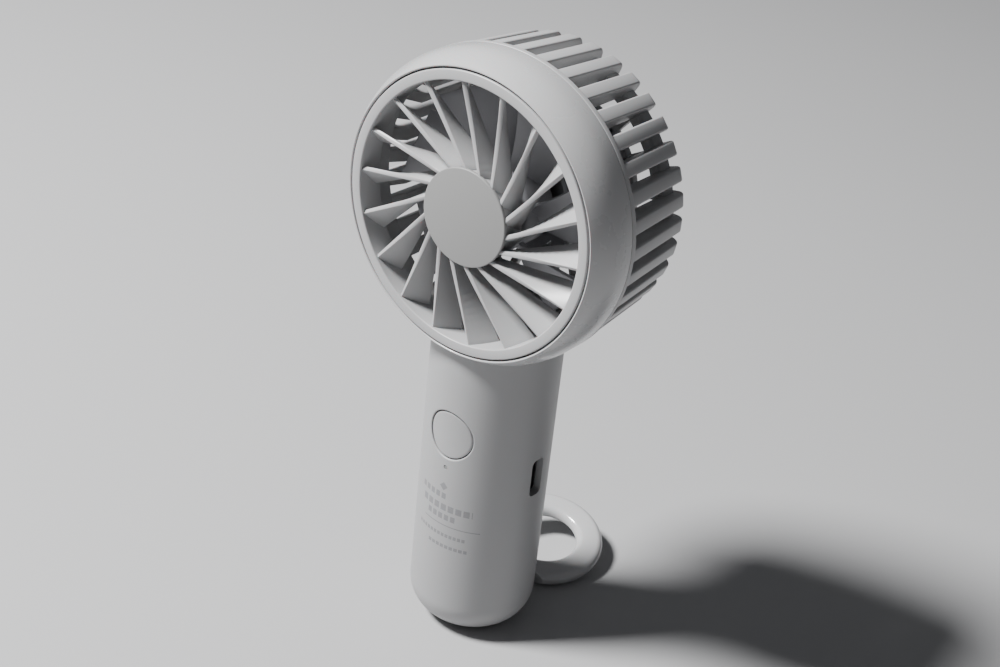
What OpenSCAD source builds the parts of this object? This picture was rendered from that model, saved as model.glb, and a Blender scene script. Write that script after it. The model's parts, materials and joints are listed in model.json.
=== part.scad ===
// Handheld mini fan: round head with a swept-vane grille and a ribbed cage, a round
// handle with battery, board, button and charging socket, and a folding carry ring
// that folds out behind the handle as a rear foot.
// The origin is the centre of the handle's flat foot, +Z is up and the fan faces -Y.

/* [Head] */
// Outside diameter of the fan head
head_d = 69; // [62:0.5:84]
// Front face to the rib ends
head_depth = 34; // [32:0.5:42]
// Height of the fan's axis above the foot
head_z = 109; // [102:0.5:135]
// Width of the bezel's face, from its lip to the outside
bezel_face = 2.9; // [2.4:0.1:4]
// Length of the bezel along the fan's axis
bezel_len = 11; // [10:0.5:13]
// Length of the bezel's rounded nose
nose_len = 8; // [6:0.5:9]
// Thickness of the bezel's front lip
lip_t = 2.6; // [2:0.1:3]
// Wall of the bezel and of the cage's band
head_wall = 1.8; // [1.4:0.1:2.2]

/* [Grille] */
// Gap between the grille ring and the bezel's lip
grille_gap = 0.4; // [0.2:0.1:0.6]
// Radial width of the grille ring
grille_ring_w = 2.3; // [1.8:0.1:3]
// Diameter of the hub disc
hub_d = 21.6; // [18:0.2:26]
// Number of vanes
vane_count = 18; // [12:1:24]
// Thickness of a vane
vane_t = 1; // [0.8:0.1:1.4]
// Depth of a vane along the axis
vane_depth = 5; // [4:0.5:6]
// Angle from a vane's hub end round to its rim end
vane_sweep = 22; // [10:1:30]
// Sideways lean of a vane's rim end for each millimetre of depth
rim_lean = 0.95; // [0.6:0.05:1.6]
// Sideways lean of a vane's hub end, the other way, for each millimetre of depth
hub_lean = 0.65; // [0.4:0.05:1.2]

/* [Cage] */
// Number of ribs round the cage
rib_count = 36; // [24:2:40]
// Width of a rib
rib_w = 3.2; // [2.4:0.1:3.4]
// Radial depth of a rib
rib_depth = 4.4; // [3.6:0.1:5]
// How far the ribs lean in towards the rear
rib_lean_in = 1.8; // [1:0.1:3]
// Band of the cage between the bezel and the slots
band_len = 1.5; // [1:0.1:3]
// Number of spokes on the rear face
spoke_count = 18; // [12:2:20]
// Width of a spoke
spoke_w = 1.8; // [1.4:0.1:2.4]

/* [Motor] */
// Diameter of the motor can
motor_d = 21; // [18:0.5:24]
// Length of the motor
motor_len = 12; // [11:0.5:14]
// Diameter of the motor shaft
shaft_d = 2; // [1.5:0.1:2.5]
// Diameter across the impeller's blade tips
impeller_d = 52.4; // [46:0.2:54]
// Number of impeller blades
blade_count = 7; // [5:1:9]

/* [Handle] */
// Outside diameter of the handle
handle_d = 30; // [28:0.5:36]
// Wall of the handle
handle_wall = 2; // [1.6:0.1:2.4]
// Radius of the rounding at the handle's foot
foot_round = 9; // [7:0.5:11]
// Distance from the handle's axis back to the rear cover's seam
seam_y = 8; // [7:0.5:9]

/* [Controls] */
// Diameter of the power button
button_d = 11.5; // [9:0.5:12]
// Height of the button's centre
button_z = 54.9; // [52:0.2:57]
// Travel of the button
button_travel = 0.5; // [0.3:0.1:0.6]
// Height of the charge light
led_z = 46.5; // [43.6:0.2:47.4]
// Diameter of the charge light
led_d = 1; // [0.8:0.1:1.6]
// Height of the centre of the charging socket
usb_z = 44.3; // [43.6:0.2:47.4]

/* [Battery] */
// Diameter of the cell
cell_d = 18.2; // [16:0.2:18.4]
// Length of the cell
cell_len = 29; // [25:0.5:29.5]

/* [Carry ring] */
// Outside radius of the carry ring
ring_r = 15.2; // [13.4:0.2:17]
// Radial width of the ring's band
ring_w = 6.7; // [6:0.1:8]
// Thickness of the ring
ring_t = 3.6; // [3:0.1:4]
// Sideways lean of the ring on its hinge
ring_roll = 8; // [0:1:10]
// Angle by which the far side of the ring is raised as it rests
ring_tip = 8; // [5:0.5:12]
// Diameter of the hinge pin
pin_d = 2; // [1.6:0.1:2.2]
// Distance from the handle's axis to the hinge pin
hinge_y = 17.4; // [17.2:0.1:22]
// Height of the hinge pin
hinge_z = 3; // [2.8:0.1:6]

/* [Fits] */
// Radial clearance of a running fit
run_gap = 0.05; // [0.02:0.01:0.1]
// Clearance between parts that pass each other
free_gap = 0.3; // [0.2:0.05:0.5]
// Clearance between moulded parts that are pushed together
slip_gap = 0.15; // [0.05:0.05:0.2]

/* [Hidden] */
$fn = 96;

shell_white = [0.90, 0.90, 0.91];
hub_grey = [0.78, 0.78, 0.79];
blade_grey = [0.72, 0.72, 0.74];
steel = [0.70, 0.71, 0.73];
bronze = [0.72, 0.55, 0.30];
board_green = [0.10, 0.36, 0.20];
black = [0.08, 0.08, 0.09];
cell_wrap = [0.25, 0.45, 0.70];
wire_red = [0.70, 0.12, 0.10];

// Head
head_r = head_d / 2;
front_y = -head_depth / 2;
rear_y = head_depth / 2;
lip_r = head_r - bezel_face;
nose_in = bezel_face - 0.3;
nose_run = nose_len - 0.1;
nose_r = (nose_in * nose_in + nose_run * nose_run) / (2 * nose_in);
band_y = front_y + bezel_len;
slot_y = band_y + band_len;
head_in_r = head_r - head_wall;

// Grille
grille_r = lip_r - grille_gap;
grille_in_r = grille_r - grille_ring_w;
grille_skirt_t = 1.4;
grille_flange_t = 1.4;
skirt_len = vane_depth + 1.5;
hub_r = hub_d / 2;
hub_wall_r = hub_r - 0.4;
hub_wall_t = 1.6;
hub_cap_t = 0.8;
hub_front_y = front_y + 0.6;
vane_front_y = front_y + 0.4;
vane_rear_y = vane_front_y + vane_depth;
vane_hub_y = hub_front_y + slip_gap + 0.3 * vane_t;
vane_out_r = grille_in_r + 0.7;
vane_in_r = hub_wall_r - 0.6;
rim_turn = vane_depth * rim_lean / grille_in_r * 180 / PI;
hub_turn = vane_depth * hub_lean / hub_r * 180 / PI;
vane_steps = 6;

// Motor and impeller
motor_r = motor_d / 2;
shaft_r = shaft_d / 2;
cup_floor_t = 2;
cup_r = motor_r + 1.7;
motor_rear_y = rear_y - cup_floor_t;
motor_y = motor_rear_y - motor_len;
can_t = 0.8;
end_cap_t = 1;
end_cap_plug = 1.6;
bush_r = shaft_r + 1.6;
boss_len = 0.8;
retainer_t = 1.2;
retainer_y = motor_y - retainer_t;
screw_r = 0.9;
screw_head_r = 1.7;
screw_head_t = 0.9;
motor_screw_count = 3;
motor_screw_ring = cup_r + 1.6;
ear_r = 2.4;
impeller_rear_y = retainer_y - screw_head_t - 0.6;
impeller_len = 8.8;
impeller_front_y = impeller_rear_y - impeller_len;
impeller_hub_r = hub_r - 0.6;
impeller_hub_t = 1.2;
impeller_boss_r = shaft_r + 1.4;
shaft_front_y = impeller_front_y + 1;
shaft_rear_y = motor_rear_y - 0.4;
blade_t = 1;
armature_r = motor_r - can_t - 2.9;
magnet_t = 2;

// Cage
spigot_t = 1.3;
spigot_len = 3.5;
rib_out_r = head_r - 0.15;
rib_rear_r = rib_out_r - rib_lean_in;
rib_end_round = 1.6;
rib_hook_t = 2.2;
rib_root = 2.6;
rear_ring_out = rib_rear_r - 2;
rear_ring_in = rear_ring_out - 3;
rib_hook_r = rear_ring_in + 0.8;
spoke_end_r = rib_hook_r + 0.7;
rear_ring_y = rear_y - 5.5;
rear_ring_len = 4.2;
mid_ring_r = (cup_r + rear_ring_in) / 2;
mid_ring_t = 1.6;
lead_spoke_w = 6;
lead_r = 0.6;
lead_gap = 1.3;
lead_sides = 10;
lead_hole_r = lead_gap + lead_r + 0.9;
lead_y = motor_rear_y - 1.4;

// Handle
handle_r = handle_d / 2;
handle_in_r = handle_r - handle_wall;
neck_r = handle_in_r - slip_gap;
neck_z = head_z - head_r;
neck_block_len = 8.5;
neck_block_z = neck_z - neck_block_len;
neck_lead_y = handle_in_r - lead_hole_r - 1.6;
neck_screw_x = 5;
neck_screw_z = neck_z - 4.6;
neck_screw_seat = handle_in_r - 0.1;
neck_screw_len = 6.5;
floor_t = handle_wall;

// Board, button and socket
board_y = -3;
board_t = 1.2;
board_w = 2 * sqrt(handle_in_r * handle_in_r - board_y * board_y) - 2.3;
board_z = 38;
board_len = neck_block_z - 0.8 - board_z;
button_r = button_d / 2;
button_hole_r = button_r + 0.25;
button_recess = 0.2;
flange_r = button_r + 1;
flange_t = 0.8;
spot_r = flange_r + free_gap + 0.2;
spot_y = -(handle_r - 2.3);
flange_y = spot_y + free_gap;
switch_h = 3.8;
switch_w = 6;
switch_y = board_y - switch_h;
plunger_r = 1.5;
plunger_len = 1.8;
stem_y = switch_y - 1;
led_r = led_d / 2;
led_chip_h = 1.2;
socket_len = 7.3;
socket_w = 8.94;
socket_h = 3.2;
socket_t = 0.3;
socket_x = handle_in_r + 0.4;
socket_y = board_y + board_t + socket_h / 2;
slot_gap = 0.4;

// Battery
cell_r = cell_d / 2;
tab_t = 0.3;
tab_w = 4;
pad_t = 2.9;
pad_r = handle_r - foot_round - slip_gap;
cell_z = floor_t + pad_t + tab_t;
cell_top = cell_z + cell_len;
cradle_t = 1.2;
cradle_gap = tab_t + 0.2;
cradle_z = [cell_z + 8, cell_z + 26];

// Carry ring
pin_r = pin_d / 2;
barrel_r = pin_r + 1;
barrel_w = 5.8;
ear_t = 2;
ear_x = barrel_w / 2 + free_gap;
lug_r = pin_r + 1.4;
pin_set = 3;
ring_arm = ring_r - pin_set;
ring_in_r = ring_r - ring_w;
bridge_w = 12;
bridge_t = 2.4;
bridge_start = 2.2;
bridge_end = 5.6;

// ---------- shared shapes ----------

// Puts a shape drawn about +Z onto the fan's axis, where its z becomes the row's y
module on_axis() translate([0, 0, head_z]) rotate([-90, 0, 0]) children();

// Disc or ring about the fan's axis between two y values
module axis_ring(out_r, in_r, y0, y1) {
  on_axis() translate([0, 0, y0]) difference() {
    cylinder(r = out_r, h = y1 - y0);
    if (in_r > 0) translate([0, 0, -1]) cylinder(r = in_r, h = y1 - y0 + 2);
  }
}

// Round bar along Y
module bar_y(r, x, z, y0, y1) translate([x, y0, z]) rotate([-90, 0, 0]) cylinder(r = r, h = y1 - y0);

// Round bar along X
module bar_x(r, y, z, x0, x1) translate([x0, y, z]) rotate([0, 90, 0]) cylinder(r = r, h = x1 - x0);

// Point at a radius and an angle about the fan's axis, seen from the front, at a depth
function polar(r, a, y) = [r * cos(a), y, r * sin(a)];
function unit(v) = v / norm(v);

// Four corners of a thin bar whose front and rear edges are at f and b, across direction s
function thin_loop(f, b, s, t) =
  let(n = unit(cross(b - f, s)) * t / 2) [f + n, b + n, b - n, f - n];

// Closed solid through a row of loops that have the same number of corners
module loft(loops) {
  n = len(loops);
  m = len(loops[0]);
  points = [for (l = loops) for (p = l) p];
  sides = [for (i = [0:n - 2]) for (j = [0:m - 1])
    let(a = i * m + j, b = i * m + (j + 1) % m) each [[a, b + m, b], [a, a + m, b + m]]];
  e = (n - 1) * m;
  caps = [for (j = [1:m - 2]) each [[0, j, j + 1], [e, e + j + 1, e + j]]];
  polyhedron(points, concat(sides, caps));
}

// Round loop about a point of a route that runs in a plane of constant x
function route_loop(p, along, r, n) =
  [for (k = [0:n - 1]) p + r * cos(360 * k / n) * [1, 0, 0] + r * sin(360 * k / n) * cross(unit(along), [1, 0, 0])];

// Outline of the head from its axis out, as radius against depth
module head_outline() {
  translate([0, front_y + nose_len]) square([head_r, head_depth - nose_len]);
  intersection() {
    translate([0, front_y]) square([head_r, nose_len]);
    union() {
      translate([head_r - nose_r, front_y + nose_len]) circle(nose_r);
      translate([0, front_y]) square([head_r - nose_r, nose_len]);
    }
  }
}

// Round-ended post with a flat foot, filled, as the outside or the inside of the handle
module handle_form(r, round_r, z0, top) {
  rotate_extrude() intersection() {
    translate([0, z0]) square([r, top - z0]);
    union() {
      translate([0, z0 + round_r]) square([r, top - z0]);
      square([r - round_r, z0 + round_r + 1]);
      translate([r - round_r, z0 + round_r]) circle(round_r);
    }
  }
}

module handle_body() {
  difference() {
    handle_form(handle_r, foot_round, 0, neck_z + foot_round);
    handle_form(handle_in_r, foot_round - handle_wall, floor_t, neck_z + foot_round + 1);
    on_axis() rotate_extrude() head_outline();
  }
  for (z = cradle_z) translate([0, 0, z]) difference() {
    cylinder(r = handle_in_r + 0.2, h = cradle_t);
    translate([0, 0, -1]) cylinder(r = cell_r + cradle_gap, h = cradle_t + 2);
  }
}

// Slot with round ends through the wall on the +X side
module end_slot(w, h, x0, x1, z, y) {
  for (s = [-1, 1]) bar_x(h / 2, y, z + s * (w - h) / 2, x0, x1);
  translate([x0, y - h / 2, z - (w - h) / 2]) cube([x1 - x0, h, w - h]);
}

// ---------- head ----------

module front_bezel() color(shell_white) on_axis() rotate_extrude() difference() {
  intersection() {
    head_outline();
    translate([lip_r, front_y]) square([bezel_face, bezel_len]);
  }
  translate([lip_r - 1, front_y + lip_t]) square([1 + bezel_face - head_wall, bezel_len]);
}

// One ruled vane: its rim end leans one way with depth and its hub end the other
module vane(a) {
  fo = polar(vane_out_r, a, vane_front_y);
  fi = polar(vane_in_r, a - vane_sweep, vane_hub_y);
  bo = polar(vane_out_r, a + rim_turn, vane_rear_y);
  bi = polar(vane_in_r, a - vane_sweep - hub_turn, vane_rear_y);
  loft([for (i = [0:vane_steps]) let(u = i / vane_steps)
    thin_loop(fo + (fi - fo) * u, bo + (bi - bo) * u, fi - fo + (bi - bo), vane_t)]);
}

module front_grille() color(shell_white) {
  on_axis() rotate_extrude() {
    translate([grille_in_r, front_y]) square([grille_ring_w, lip_t + 0.5]);
    translate([grille_in_r, front_y + lip_t])
      square([head_in_r - slip_gap - grille_in_r, grille_flange_t]);
    translate([grille_in_r, front_y]) square([grille_skirt_t, skirt_len]);
  }
  axis_ring(hub_wall_r, hub_wall_r - hub_wall_t, hub_front_y, front_y + skirt_len);
  translate([0, 0, head_z]) for (k = [0:vane_count - 1]) vane(18.4 + k * 360 / vane_count);
}

module hub_cap() color(hub_grey) {
  axis_ring(hub_r, 0, hub_front_y - hub_cap_t, hub_front_y);
  axis_ring(hub_wall_r - hub_wall_t - slip_gap, hub_wall_r - hub_wall_t - 1.4, hub_front_y, hub_front_y + 2.5);
}

// Side view of one rib, which hooks in at the rear to meet the rear ring
module rib_outline() {
  polygon([[rib_out_r - rib_root, slot_y - 1], [rib_out_r, slot_y - 1],
    [rib_rear_r, rear_y - rib_end_round], [rib_rear_r - rib_end_round, rear_y],
    [rib_hook_r, rear_y], [rib_hook_r, rear_y - rib_hook_t],
    [rib_rear_r - rib_depth + 1, rear_y - rib_hook_t - 3], [rib_rear_r - rib_depth + 1, slot_y + 3]]);
  translate([rib_rear_r - rib_end_round, rear_y - rib_end_round]) circle(rib_end_round);
}

module rear_cage() color(shell_white) difference() {
  union() {
    axis_ring(head_r, head_in_r - slip_gap - spigot_t, band_y, slot_y);
    axis_ring(head_in_r - slip_gap, head_in_r - slip_gap - spigot_t, band_y - spigot_len, slot_y);
    on_axis() for (k = [0:rib_count - 1]) rotate([0, 0, k * 360 / rib_count])
      rotate([90, 0, 0]) linear_extrude(rib_w, center = true) rib_outline();
    axis_ring(rear_ring_out, rear_ring_in, rear_ring_y, rear_ring_y + rear_ring_len);
    axis_ring(mid_ring_r + mid_ring_t / 2, mid_ring_r - mid_ring_t / 2, rear_y - rib_hook_t, rear_y);
    on_axis() for (k = [0:spoke_count - 1]) rotate([0, 0, 90 + k * 360 / spoke_count])
      translate([cup_r - 0.5, -spoke_w / 2, rear_y - rib_hook_t])
        cube([spoke_end_r - cup_r + 0.5, spoke_w, rib_hook_t]);
    translate([-lead_spoke_w / 2, rear_y - rib_hook_t, head_z - spoke_end_r])
      cube([lead_spoke_w, rib_hook_t, spoke_end_r - cup_r + 1]);
    axis_ring(cup_r, 0, motor_y, rear_y);
    on_axis() for (k = [0:motor_screw_count - 1]) rotate([0, 0, -90 + k * 360 / motor_screw_count])
      translate([motor_screw_ring, 0, motor_y]) cylinder(r = ear_r, h = rear_y - motor_y);
    intersection() {
      axis_ring(head_r, head_r - rib_depth, slot_y - 0.5, handle_r);
      translate([0, 0, neck_z - 1]) cylinder(r = handle_r, h = head_r);
    }
    intersection() {
      translate([0, 0, neck_block_z]) cylinder(r = neck_r, h = neck_block_len + rib_depth);
      translate([-handle_r, slot_y, neck_block_z]) cube([handle_d, handle_d, head_r]);
      difference() {
        translate([-handle_r, -handle_r, 0]) cube([handle_d, handle_d, head_z]);
        axis_ring(head_r - rib_depth + 0.5, 0, front_y, rear_y + 1);
      }
    }
  }
  axis_ring(motor_r + run_gap, 0, motor_y - 1, motor_rear_y);
  on_axis() for (k = [0:motor_screw_count - 1]) rotate([0, 0, -90 + k * 360 / motor_screw_count])
    translate([motor_screw_ring, 0, motor_y - 1]) cylinder(r = screw_r, h = 7, $fn = 32);
  translate([-lead_hole_r, lead_y - lead_r - 0.4, head_z - cup_r - 1])
    cube([2 * lead_hole_r, motor_rear_y - lead_y + lead_r + 0.4, 4]);
  translate([0, neck_lead_y, neck_block_z - 1]) cylinder(r = lead_hole_r, h = neck_block_len + 12);
  for (s = [-1, 1]) bar_y(screw_r, s * neck_screw_x, neck_screw_z, neck_r - neck_screw_len, neck_r);
}

// ---------- rotor ----------

module blade(a) {
  tip_r = impeller_d / 2;
  root_r = impeller_hub_r - 0.4;
  y0 = impeller_front_y + 1;
  y1 = impeller_rear_y - 0.6;
  loft([for (i = [0:5]) let(u = i / 5, r = root_r + (tip_r - root_r) * u,
      c = a + 14 * u, w = 21 - 3 * u, q = 1.1 * u, s = polar(1, c, 0))
    thin_loop(polar(r, c + w, y0 + q), polar(r, c - w, y1 - q), s, blade_t)]);
}

module impeller() color(blade_grey) {
  difference() {
    axis_ring(impeller_hub_r, 0, impeller_front_y, impeller_rear_y);
    difference() {
      axis_ring(impeller_hub_r - impeller_hub_t, 0, impeller_front_y + 1.6, impeller_rear_y + 1);
      axis_ring(impeller_boss_r, 0, impeller_front_y, impeller_rear_y - 0.4);
    }
    axis_ring(shaft_r, 0, shaft_front_y, impeller_rear_y + 1);
  }
  translate([0, 0, head_z]) for (k = [0:blade_count - 1]) blade(k * 360 / blade_count);
}

module motor_shaft() color(steel) axis_ring(shaft_r, 0, shaft_front_y, shaft_rear_y);

module motor_armature() color(bronze) difference() {
  axis_ring(armature_r, shaft_r, motor_y + 2.6, motor_rear_y - end_cap_t - end_cap_plug - 1);
  on_axis() for (k = [0:2]) rotate([0, 0, k * 120]) translate([armature_r, 0, 0])
    cylinder(r = 1.2, h = motor_rear_y, $fn = 32);
}

// ---------- motor ----------

module motor_can() color(steel) difference() {
  union() {
    axis_ring(motor_r, 0, motor_y, motor_rear_y - end_cap_t);
    axis_ring(bush_r + can_t, 0, motor_y - boss_len, motor_y);
  }
  axis_ring(motor_r - can_t, 0, motor_y + can_t, motor_rear_y);
  axis_ring(bush_r, 0, motor_y - boss_len - 1, motor_rear_y);
}

module motor_end_cap() color(black) difference() {
  union() {
    axis_ring(motor_r, 0, motor_rear_y - end_cap_t, motor_rear_y);
    axis_ring(motor_r - can_t, 0, motor_rear_y - end_cap_t - end_cap_plug, motor_rear_y - end_cap_t);
  }
  axis_ring(bush_r, 0, 0, motor_rear_y - 0.2);
}

module motor_magnets() color(black) difference() {
  axis_ring(motor_r - can_t, motor_r - can_t - magnet_t, motor_y + 1.6,
    motor_rear_y - end_cap_t - end_cap_plug - 0.2);
  translate([-2, 0, head_z - motor_r]) cube([4, motor_rear_y, motor_d]);
}

module motor_bushes() color(bronze) {
  axis_ring(bush_r, shaft_r + run_gap, motor_y - boss_len, motor_y + 1.6);
  axis_ring(bush_r, shaft_r + run_gap, motor_rear_y - end_cap_t - end_cap_plug, motor_rear_y - 0.2);
}

module motor_retainer() color(steel) difference() {
  union() {
    axis_ring(cup_r, 0, retainer_y, motor_y);
    on_axis() for (k = [0:motor_screw_count - 1]) rotate([0, 0, -90 + k * 360 / motor_screw_count])
      translate([motor_screw_ring, 0, retainer_y]) cylinder(r = ear_r, h = retainer_t);
  }
  axis_ring(bush_r + can_t + 0.2, 0, retainer_y - 1, motor_y + 1);
  on_axis() for (k = [0:motor_screw_count - 1]) rotate([0, 0, -90 + k * 360 / motor_screw_count])
    translate([motor_screw_ring, 0, retainer_y - 1]) cylinder(r = screw_r + slip_gap, h = 3, $fn = 32);
}

module motor_screws() color(steel)
  on_axis() for (k = [0:motor_screw_count - 1]) rotate([0, 0, -90 + k * 360 / motor_screw_count])
    translate([motor_screw_ring, 0, 0]) {
      translate([0, 0, retainer_y]) cylinder(r = screw_r, h = retainer_t + 5.5, $fn = 32);
      translate([0, 0, retainer_y - screw_head_t]) cylinder(r = screw_head_r, h = screw_head_t, $fn = 32);
    }

module motor_leads() color(wire_red) for (s = [-1, 1]) {
  x = s * lead_gap;
  route = [[x, lead_y, head_z - cup_r + 0.6], [x, lead_y, head_z - rear_ring_in + 5],
    [x, lead_y - 0.6, head_z - rear_ring_in + 3], [x, neck_lead_y, neck_z + rib_depth + 1],
    [x, neck_lead_y, neck_block_z - 1.5], [x, board_y + board_t + lead_r, board_z + board_len - 3]];
  last = len(route) - 1;
  loft([for (i = [0:last])
    route_loop(route[i], route[min(i + 1, last)] - route[max(i - 1, 0)], lead_r, lead_sides)]);
}

// ---------- handle ----------

module handle_front_shell() color(shell_white) {
  difference() {
    intersection() {
      handle_body();
      translate([-handle_r - 1, -handle_r - 1, 0]) cube([handle_d + 2, handle_r + 1 + seam_y, head_z]);
    }
    bar_y(spot_r, 0, button_z, spot_y, 0);
    bar_y(button_hole_r, 0, button_z, -handle_r - 1, 0);
    bar_y(led_r + run_gap, 0, led_z, -handle_r - 1, 0);
    end_slot(socket_w + 2 * slot_gap, socket_h + 2 * slot_gap, handle_in_r - 3, handle_r + 1, usb_z, socket_y);
  }
  for (s = [-1, 1]) intersection() {
    translate([s * (board_w / 2 + 0.1) - 1, board_y - 1.2, board_z + 1]) cube([2, 1.2, board_len - 2]);
    cylinder(r = handle_in_r + 0.2, h = head_z);
  }
}

module handle_rear_cover() color(shell_white) {
  difference() {
    union() {
      intersection() {
        handle_body();
        translate([-handle_r - 1, seam_y, 0]) cube([handle_d + 2, handle_r, head_z]);
      }
      difference() {
        for (s = [-1, 1]) {
          x0 = min(s * ear_x, s * (ear_x + ear_t));
          bar_x(lug_r, hinge_y, hinge_z, x0, x0 + ear_t);
          translate([x0, seam_y, hinge_z - lug_r]) cube([ear_t, hinge_y - seam_y, 2 * lug_r]);
        }
        handle_form(handle_in_r, foot_round - handle_wall, floor_t, head_z / 2);
        translate([-handle_r, seam_y - handle_r, 0]) cube([handle_d, handle_r, hinge_z + handle_r]);
      }
    }
    bar_x(pin_r, hinge_y, hinge_z, -handle_r, handle_r);
    for (s = [-1, 1]) {
      bar_y(screw_head_r + 0.2, s * neck_screw_x, neck_screw_z, neck_screw_seat, handle_r + 1);
      bar_y(screw_r + slip_gap, s * neck_screw_x, neck_screw_z, seam_y, handle_r + 1);
    }
  }
}

module neck_screws() color(steel) for (s = [-1, 1]) {
  bar_y(screw_r, s * neck_screw_x, neck_screw_z, neck_r - neck_screw_len, neck_screw_seat);
  bar_y(screw_head_r, s * neck_screw_x, neck_screw_z, neck_screw_seat, neck_screw_seat + screw_head_t);
}

// ---------- button, light and board ----------

module power_button() color(shell_white) {
  intersection() {
    bar_y(button_r, 0, button_z, -handle_r, flange_y + 0.1);
    translate([0, 0, button_z - handle_r]) cylinder(r = handle_r - button_recess, h = handle_d);
  }
  bar_y(flange_r, 0, button_z, flange_y, flange_y + flange_t);
  bar_y(plunger_r, 0, button_z, flange_y, stem_y);
}

module switch_plunger() color(black) bar_y(plunger_r, 0, button_z, stem_y, stem_y + plunger_len);

module switch_body() color(black) difference() {
  translate([-switch_w / 2, switch_y, button_z - switch_w / 2]) cube([switch_w, switch_h, switch_w]);
  bar_y(plunger_r + run_gap, 0, button_z, switch_y - 1, stem_y + plunger_len + button_travel + free_gap);
}

module led_lens() color([0.85, 0.9, 0.9]) bar_y(led_r, 0, led_z, -handle_r + 0.1, board_y - led_chip_h);

module circuit_board() color(board_green)
  translate([-board_w / 2, board_y, board_z]) cube([board_w, board_t, board_len]);

module board_chips() color(black) {
  translate([-1, board_y - led_chip_h, led_z - 0.6]) cube([2, led_chip_h, 1.2]);
  translate([-8, board_y + board_t, board_z + 8]) cube([5, 1.4, 5]);
  translate([-9, board_y - 1.6, board_z + 3]) cube([4, 1.6, 4]);
  bar_y(2.2, -5, board_z + 19, board_y + board_t, board_y + board_t + 3);
}

module usb_socket() color(steel) difference() {
  end_slot(socket_w, socket_h, socket_x - socket_len, socket_x, usb_z, socket_y);
  end_slot(socket_w - 2 * socket_t, socket_h - 2 * socket_t, socket_x - socket_len + 1, socket_x + 1,
    usb_z, socket_y);
}

module usb_tongue() color(black)
  translate([socket_x - socket_len + 1, socket_y - 0.35, usb_z - 3.3]) cube([socket_len - 2, 0.7, 6.6]);

// ---------- battery ----------

module battery_cell() color(cell_wrap) translate([0, 0, cell_z]) cylinder(r = cell_r, h = cell_len);

module battery_pad() color(black) translate([0, 0, floor_t]) cylinder(r = pad_r, h = pad_t);

module battery_tabs() color(steel) {
  rise = cell_top + 2.4;
  back = board_y + board_t;
  translate([-tab_w / 2, back, cell_top]) cube([tab_w, 4, tab_t]);
  translate([-tab_w / 2, back, cell_top]) cube([tab_w, tab_t, board_z + 3 - cell_top]);
  translate([-tab_w / 2, -3, cell_z - tab_t]) cube([tab_w, 3 + cell_r + tab_t, tab_t]);
  translate([-tab_w / 2, cell_r, cell_z - tab_t]) cube([tab_w, tab_t, rise - cell_z + tab_t]);
  translate([-tab_w / 2, back + 1, rise - tab_t]) cube([tab_w, cell_r - back - 1, tab_t]);
}

// ---------- carry ring ----------

module hinge_pin() color(steel)
  bar_x(pin_r, hinge_y, hinge_z, -ear_x - ear_t, ear_x + ear_t);

// The ring hangs on the hinge pin, trimmed round the two ears that hold the pin
module carry_ring() color(shell_white) translate([0, hinge_y, hinge_z]) difference() {
  union() {
    rotate([ring_tip, 0, 0]) intersection() {
      translate([0, ring_arm, 0]) rotate([0, ring_roll, 0]) rotate_extrude() {
        translate([ring_in_r + ring_t / 2, -ring_t / 2]) square([ring_w - ring_t, ring_t]);
        for (r = [ring_in_r, ring_r - ring_t]) translate([r + ring_t / 2, 0]) circle(ring_t / 2);
      }
      translate([-ring_r - 1, 0, -ring_r]) cube([2 * ring_r + 2, 2 * ring_r, 2 * ring_r]);
    }
    rotate([ring_tip, 0, 0]) translate([-bridge_w / 2, bridge_start, -bridge_t / 2])
      cube([bridge_w, bridge_end - bridge_start, bridge_t]);
    bar_x(barrel_r, 0, 0, -ear_x, ear_x);
  }
  bar_x(pin_r + run_gap, 0, 0, -bridge_w, bridge_w);
  for (s = [-1, 1]) {
    x0 = min(s * barrel_w / 2, s * (ear_x + ear_t + free_gap));
    bar_x(lug_r + free_gap, 0, 0, x0, x0 + ear_t + 2 * free_gap);
  }
}

front_bezel();
front_grille();
hub_cap();
rear_cage();
impeller();
motor_shaft();
motor_can();
motor_end_cap();
motor_magnets();
motor_armature();
motor_bushes();
motor_retainer();
motor_screws();
motor_leads();
handle_front_shell();
handle_rear_cover();
neck_screws();
power_button();
switch_body();
switch_plunger();
led_lens();
circuit_board();
board_chips();
usb_socket();
usb_tongue();
battery_cell();
battery_pad();
battery_tabs();
hinge_pin();
carry_ring();
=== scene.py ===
"""Handheld mini fan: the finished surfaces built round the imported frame."""

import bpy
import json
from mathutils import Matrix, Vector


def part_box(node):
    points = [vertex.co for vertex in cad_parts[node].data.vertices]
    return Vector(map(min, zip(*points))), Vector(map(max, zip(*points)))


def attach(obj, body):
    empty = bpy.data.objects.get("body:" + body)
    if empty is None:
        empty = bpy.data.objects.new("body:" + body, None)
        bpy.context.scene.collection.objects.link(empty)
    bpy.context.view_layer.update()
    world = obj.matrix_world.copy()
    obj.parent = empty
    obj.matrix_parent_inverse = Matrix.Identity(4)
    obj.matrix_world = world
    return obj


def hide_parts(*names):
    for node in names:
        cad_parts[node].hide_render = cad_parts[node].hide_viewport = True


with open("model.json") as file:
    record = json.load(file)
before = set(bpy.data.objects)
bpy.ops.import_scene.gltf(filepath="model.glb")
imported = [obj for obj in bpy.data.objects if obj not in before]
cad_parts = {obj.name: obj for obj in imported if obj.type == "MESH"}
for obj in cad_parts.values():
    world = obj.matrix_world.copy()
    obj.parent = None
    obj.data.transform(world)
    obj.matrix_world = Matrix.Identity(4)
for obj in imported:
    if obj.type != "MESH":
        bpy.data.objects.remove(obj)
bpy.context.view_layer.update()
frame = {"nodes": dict(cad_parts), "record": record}        # bodies, nodes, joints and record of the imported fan

import json
import logging
import math
from collections.abc import Callable, Iterable, Sequence
from dataclasses import dataclass, field
from enum import Enum

import bmesh
import bpy
from mathutils import Matrix, Vector

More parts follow.
